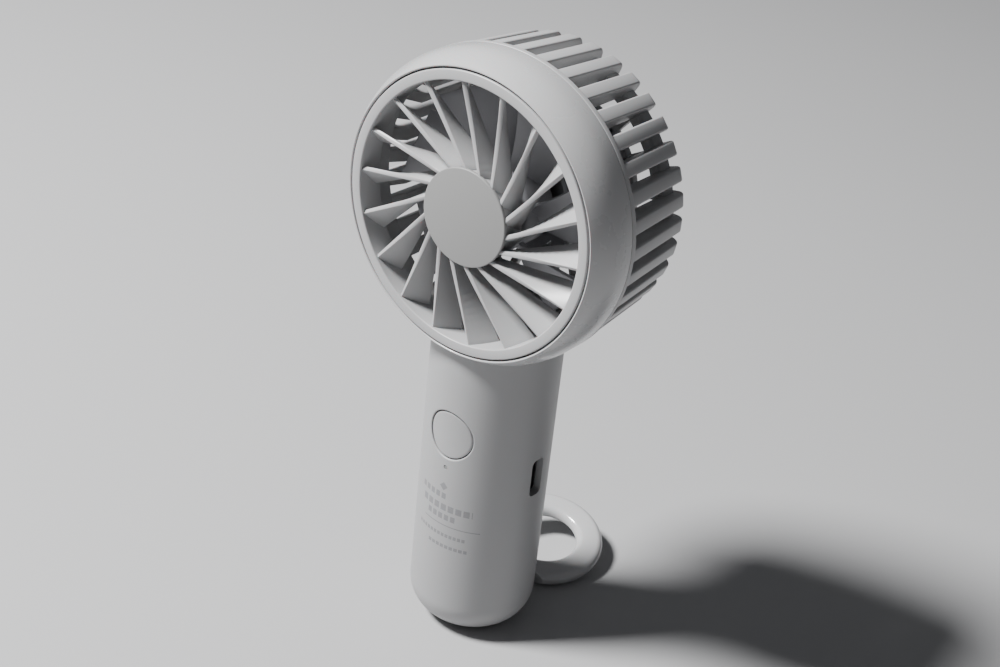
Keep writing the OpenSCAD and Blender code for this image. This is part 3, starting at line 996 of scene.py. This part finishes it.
@dataclass
class Cage:
    """Ribs, rings, spokes and motor cup behind the bezel."""

    sizes: FanSizes
    rib_count: int = 36
    rib_w: float = 3.2 * MM
    rib_depth: float = 4.4 * MM
    lean_in: float = 1.8 * MM
    band_len: float = 1.5 * MM
    end_round: float = 1.7 * MM
    hook_t: float = 2.2 * MM
    edge_round: float = 0.45 * MM
    spoke_count: int = 18
    spoke_w: float = 1.8 * MM
    cup_r: float = 12.2 * MM

    def __post_init__(self) -> None:
        """Works out the radii that the cage's pieces share."""
        s = self.sizes
        self.slot_y = s.band_y + self.band_len
        self.out_r = s.head_r - 0.15 * MM
        self.tail_r = self.out_r - self.lean_in
        self.ring_out = self.tail_r - 2.0 * MM
        self.ring_in = self.ring_out - 3.0 * MM
        self.spigot_out = s.head_r - s.head_wall - 0.15 * MM
        self.spigot_in = self.spigot_out - 1.3 * MM

    def build_bands(self, bench: Bench) -> None:
        """Turns the band behind the bezel, the rear rings and the motor cup.

        Args:
            bench: where finished pieces are placed and finishes come from.
        """
        s = self.sizes
        bm = bmesh.new()
        lathe(bm, s.head, [
            (self.spigot_in, s.band_y - 3.5 * MM, 0.2 * MM), (self.spigot_out, s.band_y - 3.5 * MM, 0.2 * MM),
            (self.spigot_out, s.band_y, 0.0), (s.head_r, s.band_y + 0.04 * MM, 0.2 * MM),
            (s.head_r, self.slot_y, 0.35 * MM), (self.spigot_in, self.slot_y, 0.35 * MM)])
        ring_y = s.rear_y - 5.5 * MM
        lathe(bm, s.head, [
            (self.ring_in, ring_y, 0.5 * MM), (self.ring_out, ring_y, 0.8 * MM),
            (self.ring_out, ring_y + 4.2 * MM, 0.8 * MM), (self.ring_in, ring_y + 4.2 * MM, 0.5 * MM)])
        mid_r = (self.cup_r + self.ring_in) / 2
        hook_y = s.rear_y - self.hook_t
        lathe(bm, s.head, [
            (mid_r - 0.8 * MM, hook_y, 0.3 * MM), (mid_r + 0.8 * MM, hook_y, 0.3 * MM),
            (mid_r + 0.8 * MM, s.rear_y, 0.4 * MM), (mid_r - 0.8 * MM, s.rear_y, 0.4 * MM)])
        motor_y = s.rear_y - 14.0 * MM
        lathe(bm, s.head, [
            (0.0, s.rear_y - 2.0 * MM, 0.0), (self.cup_r - 1.7 * MM, s.rear_y - 2.0 * MM, 0.0),
            (self.cup_r - 1.7 * MM, motor_y, 0.3 * MM), (self.cup_r, motor_y, 0.3 * MM),
            (self.cup_r, s.rear_y, 0.9 * MM), (0.0, s.rear_y, 0.0)])
        bench.place(to_mesh(bm, "cage_bands"), "cage_rings", "housing", "shell_white", Finish.GRILLE,
                    ["rear_cage"])

    def build_ribs(self, bench: Bench) -> None:
        """Shapes one rib with a rounded tail and repeats it.

        Args:
            bench: where finished pieces are placed and finishes come from.
        """
        s = self.sizes
        hook_r = self.ring_in + 0.8 * MM
        foot_y = self.slot_y - 1.0 * MM
        under = self.tail_r - self.rib_depth + 1.0 * MM
        outline = [
            (self.out_r - 2.6 * MM, foot_y, 0.0), (self.out_r, foot_y, 0.0),
            (self.tail_r, s.rear_y, self.end_round), (hook_r, s.rear_y, 0.0),
            (hook_r, s.rear_y - self.hook_t, 0.6 * MM), (under, s.rear_y - self.hook_t - 3.0 * MM, 0.0),
            (under, self.slot_y + 3.0 * MM, 0.0)]
        bm = bmesh.new()
        side = Vector((0.0, 0.0, 1.0)) * (self.rib_w / 2)
        corners = [bm.verts.new(s.head.at(radius, run) - side) for radius, run, _ in outline]
        bm.faces.new(corners)
        for corner, (_, _, size) in zip(corners, outline):
            if size > 0:
                round_off(bm, [corner], size, 6)
        grown = bmesh.ops.extrude_face_region(bm, geom=list(bm.faces))["geom"]
        bmesh.ops.translate(bm, vec=side * 2, verts=[g for g in grown if isinstance(g, bmesh.types.BMVert)])
        bmesh.ops.recalc_face_normals(bm, faces=list(bm.faces))
        soften(bm, list(bm.verts), self.edge_round, 3)
        copies_round(bm, list(bm.verts), s.head, self.rib_count)
        bench.place(to_mesh(bm, "ribs"), "cage_ribs", "housing", "shell_white", Finish.GRILLE)

    def build_spokes(self, bench: Bench) -> None:
        """Shapes one rear spoke, repeats it, and adds the wide one that carries the leads.

        Args:
            bench: where finished pieces are placed and finishes come from.
        """
        s = self.sizes
        hook_y = s.rear_y - self.hook_t
        start, end = self.cup_r - 0.6 * MM, self.ring_in + 1.5 * MM
        half = self.spoke_w / 2
        z = s.head.centre.z
        bm = bmesh.new()
        block(bm, (-half, hook_y, z + start), (half, s.rear_y, z + end), 0.4 * MM)
        copies_round(bm, list(bm.verts), s.head, self.spoke_count)
        block(bm, (-3.0 * MM, hook_y, z - end), (3.0 * MM, s.rear_y, z - start), 0.4 * MM)
        bench.place(to_mesh(bm, "spokes"), "cage_spokes", "housing", "shell_white", Finish.GRILLE)

    def build_saddle(self, bench: Bench) -> None:
        """Shapes the solid part of the cage that sits on the handle.

        Args:
            bench: where finished pieces are placed and finishes come from.
        """
        s = self.sizes
        bm = bmesh.new()
        lathe(bm, s.head, [
            (s.head_r - self.rib_depth, self.slot_y - 0.5 * MM, 0.0), (s.head_r, self.slot_y - 0.5 * MM, 0.0),
            (s.head_r, s.handle_r, 0.5 * MM), (s.head_r - self.rib_depth, s.handle_r, 0.5 * MM)])
        post = bmesh.new()
        below = Axis(Vector((0, 0, s.head.centre.z - s.head_r - 2 * MM)), s.handle.along, s.handle.out, 144)
        lathe(post, below, [(0.0, 0.0, 0.0), (s.handle_r, 0.0, 0.0), (s.handle_r, s.head_r, 0.0),
                            (0.0, s.head_r, 0.0)])
        saddle = carve(to_mesh(bm, "saddle"), post, "INTERSECT")
        bench.place(saddle, "cage_saddle", "housing", "shell_white", Finish.GRILLE)

    def build(self, bench: Bench) -> None:
        """Builds every part of the cage.

        Args:
            bench: where finished pieces are placed and finishes come from.
        """
        self.build_bands(bench)
        self.build_ribs(bench)
        self.build_spokes(bench)
        self.build_saddle(bench)


@dataclass
class Impeller:
    """Hub and twisted blades that turn behind the grille."""

    sizes: FanSizes
    blade_count: int = 7
    blade_t: float = 1.0 * MM
    twist: float = math.radians(14)
    width: float = math.radians(21)

    def build(self, bench: Bench) -> None:
        """Turns the hub and sets the blades on it.

        Args:
            bench: where finished pieces are placed and finishes come from.
        """
        s = self.sizes
        low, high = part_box("impeller")
        tip_r = 26.2 * MM
        hub_r = s.hub_r - 0.6 * MM
        root_r = hub_r - 0.4 * MM
        lead_y, tail_y = low.y + 1.0 * MM, high.y - 0.6 * MM

        def blade_edge(share: float) -> tuple[Vector, Vector]:
            """Gives a blade's front and rear points.

            Args:
                share: how far from the root to the tip, 0 to 1.

            Returns:
                The front point and the rear point.
            """
            radius = root_r + (tip_r - root_r) * share
            turn = self.twist * share
            half = self.width - math.radians(3) * share
            slope = 1.1 * MM * share
            return (s.head.at(radius, lead_y + slope, -(turn + half)),
                    s.head.at(radius, tail_y - slope, -(turn - half)))

        hub_in_r, boss_r, bore_r = hub_r - 1.2 * MM, 2.4 * MM, 1.0 * MM
        floor_y, bore_y, boss_y = low.y + 1.6 * MM, low.y + 1.0 * MM, high.y - 0.4 * MM
        bm = bmesh.new()
        lathe(bm, s.head, [
            (0.0, low.y, 0.0), (hub_r, low.y, 1.2 * MM), (hub_r, high.y, 0.3 * MM),
            (hub_in_r, high.y, 0.3 * MM), (hub_in_r, floor_y, 0.0), (boss_r, floor_y, 0.0),
            (boss_r, boss_y, 0.0), (bore_r, boss_y, 0.0), (bore_r, bore_y, 0.0), (0.0, bore_y, 0.0)])
        old = set(bm.verts)
        ruled_blade(bm, blade_edge, 12, self.blade_t, 0.3 * MM)
        copies_round(bm, [v for v in bm.verts if v not in old], s.head, self.blade_count)
        bench.place(to_mesh(bm, "impeller"), "impeller_wheel", "rotor", "blade_grey",
                    Finish.BLADE, ["impeller"])


# ---------- handle ----------

@dataclass
class Handle:
    """Round handle: front shell, rear cover, button, light and socket surround."""

    sizes: FanSizes
    seam_gap: float = 0.06 * MM
    bead_w: float = 0.5 * MM
    button_gap: float = 0.25 * MM
    button_recess: float = 0.2 * MM
    ear_t: float = 2.0 * MM

    def hull(self) -> bpy.types.Mesh:
        """The whole hollow handle, cut to the head.

        Returns:
            Its mesh.
        """
        s = self.sizes
        top = s.head.centre.z - s.head_r + s.foot_round
        inner = s.handle_r - s.handle_wall
        bm = bmesh.new()
        lathe(bm, s.handle, [
            (0.0, 0.0, 0.0), (s.handle_r, 0.0, s.foot_round), (s.handle_r, top, 0.0), (inner, top, 0.0),
            (inner, s.handle_wall, s.foot_round - s.handle_wall), (0.0, s.handle_wall, 0.0)])
        envelope = bmesh.new()
        sunk = 0.03 * MM
        lathe(envelope, s.head, [(0.0, s.front_y, 0.0), *s.nose(-sunk), (s.head_r + sunk, s.rear_y, 0.0),
                                 (0.0, s.rear_y, 0.0)])
        return carve(to_mesh(bm, "handle"), envelope, "DIFFERENCE")

    def sag(self, verts: Iterable[bmesh.types.BMVert], radius: float) -> None:
        """Bends a flat round shape on the front to follow the handle.

        Args:
            verts: the shape's vertices.
            radius: radius of the surface it follows.
        """
        for vert in verts:
            vert.co.y += radius - math.sqrt(max(radius ** 2 - vert.co.x ** 2, 0.0))

    def build_front(self, bench: Bench, hull: bpy.types.Mesh) -> None:
        """Cuts the front shell with its openings.

        Args:
            bench: where pieces go.
            hull: the whole handle.
        """
        s = self.sizes
        reach = 2 * s.handle_r
        half = bmesh.new()
        block(half, (-reach, -reach, -MM), (reach, s.seam_y - self.seam_gap, s.head.centre.z), 0.0)
        shell = carve(hull.copy(), half, "INTERSECT")
        hole = bmesh.new()
        through = Axis(Vector((0, -reach, s.button.z)), REARWARD, RIGHT, 96)
        hole_r = s.button_r + self.button_gap + self.bead_w
        lathe(hole, through, [(0.0, 0.0, 0.0), (hole_r, 0.0, 0.0), (hole_r, reach - 3 * MM, 0.0),
                              (0.0, reach - 3 * MM, 0.0)])
        shell = carve(shell, hole, "DIFFERENCE")
        dot = bmesh.new()
        led_low, led_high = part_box("led_lens")
        led_z = (led_low.z + led_high.z) / 2
        dot_r, dot_end = 0.55 * MM, reach - 3 * MM
        lathe(dot, Axis(Vector((0, -reach, led_z)), REARWARD, RIGHT, 24), [
            (0.0, 0.0, 0.0), (dot_r, 0.0, 0.0), (dot_r, dot_end, 0.0), (0.0, dot_end, 0.0)])
        shell = carve(shell, dot, "DIFFERENCE")
        shell = carve(shell, self.socket_cutter(), "DIFFERENCE")
        bench.place(shell, "handle_shell", "housing", "shell_white", Finish.HANDLE, ["handle_front_shell"])
        hull_bead = bmesh.new()
        rim = s.button_r + self.button_gap
        flat = Axis(Vector((0, -s.handle_r, s.button.z)), REARWARD, RIGHT, 96)
        lathe(hull_bead, flat, [(rim, 0.0, 0.32 * MM), (rim + self.bead_w, 0.0, 0.0),
                                (rim + self.bead_w, 1.2 * MM, 0.0), (rim, 1.2 * MM, 0.0)], 5)
        self.sag(hull_bead.verts, s.handle_r)
        bench.place(to_mesh(hull_bead, "bead"), "button_rim", "housing", "shell_white", Finish.HANDLE)

    def socket_cutter(self) -> bmesh.types.BMesh:
        """Round-ended slot round the charging socket.

        Returns:
            The cutter.
        """
        s = self.sizes
        margin = 0.4 * MM
        low, high = s.socket_low, s.socket_high
        half_w = (high.z - low.z) / 2 + margin
        half_h = (high.y - low.y) / 2 + margin
        mid_y, mid_z = (low.y + high.y) / 2, (low.z + high.z) / 2
        start = s.handle_r - s.handle_wall - 2 * MM
        bm = bmesh.new()
        corners = [bm.verts.new((start, mid_y + y * half_h, mid_z + z * half_w))
                   for y, z in ((-1, -1), (1, -1), (1, 1), (-1, 1))]
        bm.faces.new(corners)
        round_off(bm, corners, 1.3 * MM, 6)
        grown = bmesh.ops.extrude_face_region(bm, geom=list(bm.faces))["geom"]
        bmesh.ops.translate(bm, vec=(6 * MM, 0, 0),
                            verts=[g for g in grown if isinstance(g, bmesh.types.BMVert)])
        bmesh.ops.recalc_face_normals(bm, faces=list(bm.faces))
        return bm

    def build_rear(self, bench: Bench, hull: bpy.types.Mesh) -> None:
        """Cuts the rear cover, with its screw seats and hinge ears.

        Args:
            bench: where pieces go.
            hull: the whole handle.
        """
        s = self.sizes
        reach = 2 * s.handle_r
        half = bmesh.new()
        block(half, (-reach, s.seam_y + self.seam_gap, -MM), (reach, reach, s.head.centre.z), 0.0)
        cover = carve(hull.copy(), half, "INTERSECT")
        screw_low, screw_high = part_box("neck_screws")
        head_r = (screw_high.z - screw_low.z) / 2 + 0.2 * MM
        screw_z = (screw_low.z + screw_high.z) / 2
        screw_x = screw_high.x - (screw_high.z - screw_low.z) / 2
        seat = screw_high.y - 0.9 * MM
        for side in (-1, 1):
            seat_cut = bmesh.new()
            lathe(seat_cut, Axis(Vector((side * screw_x, seat, screw_z)), REARWARD, RIGHT, 48),
                  [(0.0, 0.0, 0.0), (head_r, 0.0, 0.0), (head_r, 6 * MM, 0.0), (0.0, 6 * MM, 0.0)])
            cover = carve(cover, seat_cut, "DIFFERENCE")
        bench.place(cover, "handle_cover", "housing", "shell_white", Finish.HANDLE, ["handle_rear_cover"])
        self.build_ears(bench)
        self.build_screws(bench, screw_x, screw_z, seat, head_r - 0.2 * MM)

    def build_ears(self, bench: Bench) -> None:
        """Shapes the two ears that hold the ring's hinge pin.

        Args:
            bench: where finished pieces are placed and finishes come from.
        """
        s = self.sizes
        pin = s.pin
        ear_r = s.pin_r + 1.4 * MM
        ear_in = s.pin_half - self.ear_t
        ears = bmesh.new()
        for side in (-1, 1):
            old = set(ears.verts)
            corners = [ears.verts.new((side * ear_in, y, z)) for y, z in (
                (s.seam_y + 0.2 * MM, pin.z - ear_r), (pin.y + ear_r, pin.z - ear_r),
                (pin.y + ear_r, pin.z + ear_r), (s.seam_y + 0.2 * MM, pin.z + ear_r))]
            face = ears.faces.new(corners)
            round_off(ears, corners[1:3], ear_r * 0.97, 8)
            face = next(f for v in ears.verts if v not in old for f in v.link_faces)
            grown = bmesh.ops.extrude_face_region(ears, geom=[face])["geom"]
            bmesh.ops.translate(ears, vec=(side * self.ear_t, 0, 0),
                                verts=[g for g in grown if isinstance(g, bmesh.types.BMVert)])
            made = [v for v in ears.verts if v not in old]
            bmesh.ops.recalc_face_normals(ears, faces=list({f for v in made for f in v.link_faces}))
            soften(ears, made, 0.35 * MM, 3)
        bench.place(to_mesh(ears, "ears"), "hinge_ears", "housing", "shell_white", Finish.HANDLE)

    def build_screws(self, bench: Bench, x: float, z: float, seat: float, head_r: float) -> None:
        """Shapes the two cross-head screws in the rear cover.

        Args:
            bench: where pieces go.
            x: distance of each screw from the middle.
            z: their height.
            seat: where their heads start.
            head_r: radius of a head.
        """
        screws = bmesh.new()
        for side in (-1, 1):
            axis = Axis(Vector((side * x, seat, z)), REARWARD, RIGHT, 40)
            lathe(screws, axis, [(0.0, -6.0 * MM, 0.0), (0.9 * MM, -6.0 * MM, 0.0), (0.9 * MM, 0.0, 0.0),
                                 (head_r, 0.0, 0.0), (head_r, 0.9 * MM, 0.45 * MM), (0.0, 0.9 * MM, 0.0)])
        mesh = to_mesh(screws, "screws")
        for side in (-1, 1):
            for wide, tall in ((1.1, 0.22), (0.22, 1.1)):
                cross = bmesh.new()
                block(cross, (side * x - wide * MM, seat + 0.35 * MM, z - tall * MM),
                      (side * x + wide * MM, seat + 2 * MM, z + tall * MM), 0.0)
                mesh = carve(mesh, cross, "DIFFERENCE")
        bench.place(mesh, "cover_screws", "housing", "steel", Finish.STEEL, ["neck_screws"])

    def build_button(self, bench: Bench) -> None:
        """Shapes the shallow round button with a softly dished face.

        Args:
            bench: where finished pieces are placed and finishes come from.
        """
        s = self.sizes
        face_y = -s.handle_r + self.button_recess
        flange_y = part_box("power_button")[0].y + 2.6 * MM
        axis = Axis(Vector((0, face_y, s.button.z)), REARWARD, RIGHT, 96)
        bm = bmesh.new()
        rings = [(s.button_r * step / 8, 0.1 * MM * (1 - (step / 8) ** 2), 0.0) for step in range(8)]
        cap_depth = 1.6 * MM
        lathe(bm, axis, [*rings, (s.button_r, 0.0, 0.32 * MM), (s.button_r, cap_depth, 0.0),
                         (0.0, cap_depth, 0.0)], 5)
        self.sag(bm.verts, s.handle_r - self.button_recess)
        stem = Axis(Vector((0, flange_y, s.button.z)), REARWARD, RIGHT, 48)
        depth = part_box("power_button")[1].y - flange_y
        lathe(bm, stem, [(0.0, -0.6 * MM, 0.0), (s.button_r, -0.6 * MM, 0.0), (s.button_r, 0.0, 0.0),
                         (s.button_r + MM, 0.0, 0.1 * MM), (s.button_r + MM, 0.8 * MM, 0.1 * MM),
                         (1.5 * MM, 0.8 * MM, 0.0), (1.5 * MM, depth, 0.2 * MM), (0.0, depth, 0.0)])
        bench.place(to_mesh(bm, "button"), "button_cap", "button", "shell_white",
                    Finish.HANDLE, ["power_button"])

    def build(self, bench: Bench) -> None:
        """Builds every part of the handle.

        Args:
            bench: where finished pieces are placed and finishes come from.
        """
        hull = self.hull()
        self.build_front(bench, hull)
        self.build_rear(bench, hull)
        self.build_button(bench)


# ---------- carry ring ----------

@dataclass
class CarryRing:
    """Flat ring hung on the hinge pin, trimmed round the ears that hold the pin."""

    sizes: FanSizes
    radius: float = 15.2 * MM
    width: float = 6.7 * MM
    thickness: float = 3.6 * MM
    pin_set: float = 3.0 * MM
    tip: float = math.radians(8)
    lean: float = math.radians(8)
    ear_gap: float = 0.3 * MM
    ear_r: float = 2.4 * MM
    ear_t: float = 2.0 * MM

    def build(self, bench: Bench) -> None:
        """Turns the ring, trims it at the hinge and adds the barrel round the pin.

        Args:
            bench: where finished pieces are placed and finishes come from.
        """
        s = self.sizes
        tipped = Matrix.Rotation(self.tip, 3, "X")
        leaned = tipped @ Matrix.Rotation(self.lean, 3, "Y")
        arm = tipped @ Vector((0, self.radius - self.pin_set, 0))
        axis = Axis(s.pin + arm, leaned @ UP, leaned @ RIGHT, 144)
        inner = self.radius - self.width
        half = self.thickness / 2
        bm = bmesh.new()
        lathe(bm, axis, [(inner, -half, half * 0.96), (self.radius, -half, half * 0.96),
                         (self.radius, half, half * 0.96), (inner, half, half * 0.96)], 8)
        whole = list(bm.verts) + list(bm.edges) + list(bm.faces)
        cut = bmesh.ops.bisect_plane(bm, geom=whole, dist=1e-6, plane_co=s.pin, plane_no=-arm.normalized(),
                                     clear_outer=True)["geom_cut"]
        bmesh.ops.holes_fill(bm, edges=[e for e in cut if isinstance(e, bmesh.types.BMEdge)], sides=0)
        bmesh.ops.recalc_face_normals(bm, faces=list(bm.faces))
        ring = to_mesh(bm, "ring")
        barrel_half = s.pin_half - self.ear_t - self.ear_gap
        for side in (-1, 1):
            room = bmesh.new()
            lathe(room, Axis(s.pin + Vector((side * barrel_half, 0, 0)), Vector((side, 0, 0)), UP, 48),
                  [(0.0, 0.0, 0.0), (self.ear_r + self.ear_gap, 0.0, 0.0),
                   (self.ear_r + self.ear_gap, self.ear_t + 2 * self.ear_gap, 0.0),
                   (0.0, self.ear_t + 2 * self.ear_gap, 0.0)])
            ring = carve(ring, room, "DIFFERENCE")
        bench.place(ring, "carry_loop", "ring", "shell_white", Finish.RING, ["carry_ring"])
        barrel_r = s.pin_r + 1.0 * MM
        hinge = bmesh.new()
        lathe(hinge, Axis(s.pin, RIGHT, UP, 48), [
            (s.pin_r + 0.05 * MM, -barrel_half, 0.0), (barrel_r, -barrel_half, 0.25 * MM),
            (barrel_r, barrel_half, 0.25 * MM), (s.pin_r + 0.05 * MM, barrel_half, 0.0)])
        bench.place(to_mesh(hinge, "hinge"), "ring_barrel", "ring", "shell_white", Finish.RING)


# ---------- carried-over nodes ----------

@dataclass
class Workings:
    """Nodes of the frame that keep their shape and take a better finish."""

    names: dict[str, bpy.types.Object]
    record: dict

    def dress(self, bench: Bench) -> None:
        """Gives every carried-over node the finish of its slot.

        Args:
            bench: where finished pieces are placed and finishes come from.
        """
        for part in self.record["subparts"]:
            node = self.names[part["node"]]
            finish = NODE_FINISH.get(part["node"], SLOT_FINISH[part["material_slot"]])
            material = bench.wardrobe.material(finish)
            node.data.materials.clear()
            node.data.materials.append(material)
            log.info("%s: dressed as %s", part["node"], part["material_slot"])


# ---------- studio ----------

@dataclass(frozen=True)
class Lamp:
    """One soft light."""

    name: str
    place: tuple[float, float, float]
    size: float
    power: float
    colour: tuple[float, float, float] = (1.0, 1.0, 1.0)

    def build(self, target: Vector) -> None:
        """Adds the light, turned to the fan.

        Args:
            target: the point that it faces.
        """
        data = bpy.data.lights.new(self.name, "AREA")
        data.shape = "DISK"
        data.size = self.size
        data.energy = self.power
        data.color = self.colour
        lamp = bpy.data.objects.new(self.name, data)
        lamp.location = self.place
        lamp.rotation_euler = (target - Vector(self.place)).to_track_quat("-Z", "Y").to_euler()
        bpy.context.scene.collection.objects.link(lamp)


@dataclass(frozen=True)
class Studio:
    """Floor, soft light and camera."""

    azimuth: float = math.radians(35.09)
    elevation: float = math.radians(28.50)
    roll: float = math.radians(6.28)
    distance: float = 351.0 * MM
    aside: float = 7.47 * MM
    above: float = -23.85 * MM
    focal: float = 61.2
    floor_size: float = 6.0
    lamps: tuple[Lamp, ...] = (
        Lamp("key", (-0.514, -0.447, 0.925), 0.26, 39.0),
    )
    sky: float = 0.13

    def build(self, sizes: FanSizes, bench: Bench) -> None:
        """Sets up the floor, the lights, the sky and the camera.

        Args:
            sizes: the fan's sizes.
            bench: where finishes come from; not used.
        """
        bm = bmesh.new()
        bmesh.ops.create_grid(bm, x_segments=1, y_segments=1, size=self.floor_size / 2)
        mesh = to_mesh(bm, "floor")
        mesh.materials.append(TableTop("table_top", (0.40, 0.40, 0.404)).build())
        floor = bpy.data.objects.new("floor", mesh)
        bpy.context.scene.collection.objects.link(floor)
        middle = Vector((0, 0, sizes.head.centre.z * 0.6))
        for lamp in self.lamps:
            lamp.build(middle)
        world = bpy.data.worlds.new("soft_sky")
        world.use_nodes = True
        world.node_tree.nodes["Background"].inputs["Color"].default_value = (0.93, 0.95, 1.0, 1.0)
        world.node_tree.nodes["Background"].inputs["Strength"].default_value = self.sky
        bpy.context.scene.world = world
        self.build_camera(sizes)

    def build_camera(self, sizes: FanSizes) -> None:
        """Places the camera in front of the fan's right side, looking down.

        Args:
            sizes: the fan's sizes.
        """
        target = Vector((0, sizes.front_y, sizes.head.centre.z))
        flat = math.cos(self.elevation)
        back = Vector((math.sin(self.azimuth) * flat, -math.cos(self.azimuth) * flat,
                       math.sin(self.elevation)))
        level = Vector((math.cos(self.azimuth), math.sin(self.azimuth), 0.0))
        rise = back.cross(level)
        right = level * math.cos(self.roll) + rise * math.sin(self.roll)
        up = rise * math.cos(self.roll) - level * math.sin(self.roll)
        data = bpy.data.cameras.new("camera")
        data.lens = self.focal
        data.sensor_width = 36.0
        data.sensor_fit = "HORIZONTAL"
        data.clip_start = 0.01
        data.clip_end = 20.0
        camera = bpy.data.objects.new("camera", data)
        turned = Matrix((right, up, back)).transposed().to_4x4()
        place = target + back * self.distance + right * self.aside + up * self.above
        camera.matrix_world = Matrix.Translation(place) @ turned
        bpy.context.scene.collection.objects.link(camera)
        bpy.context.scene.camera = camera


def main() -> None:
    """Builds the fan's sub-assemblies in order, then the studio."""
    logging.basicConfig(level=logging.INFO, format="%(message)s")
    bench = Bench()
    sizes = FanSizes.from_frame()
    Workings(frame["nodes"], frame["record"]).dress(bench)
    for part in (Bezel(sizes), Grille(sizes), Cage(sizes), Impeller(sizes), Handle(sizes), CarryRing(sizes)):
        part.build(bench)
        log.info("%s is done", type(part).__name__)
    Studio().build(sizes, bench)


if __name__ == "__main__":
    main()
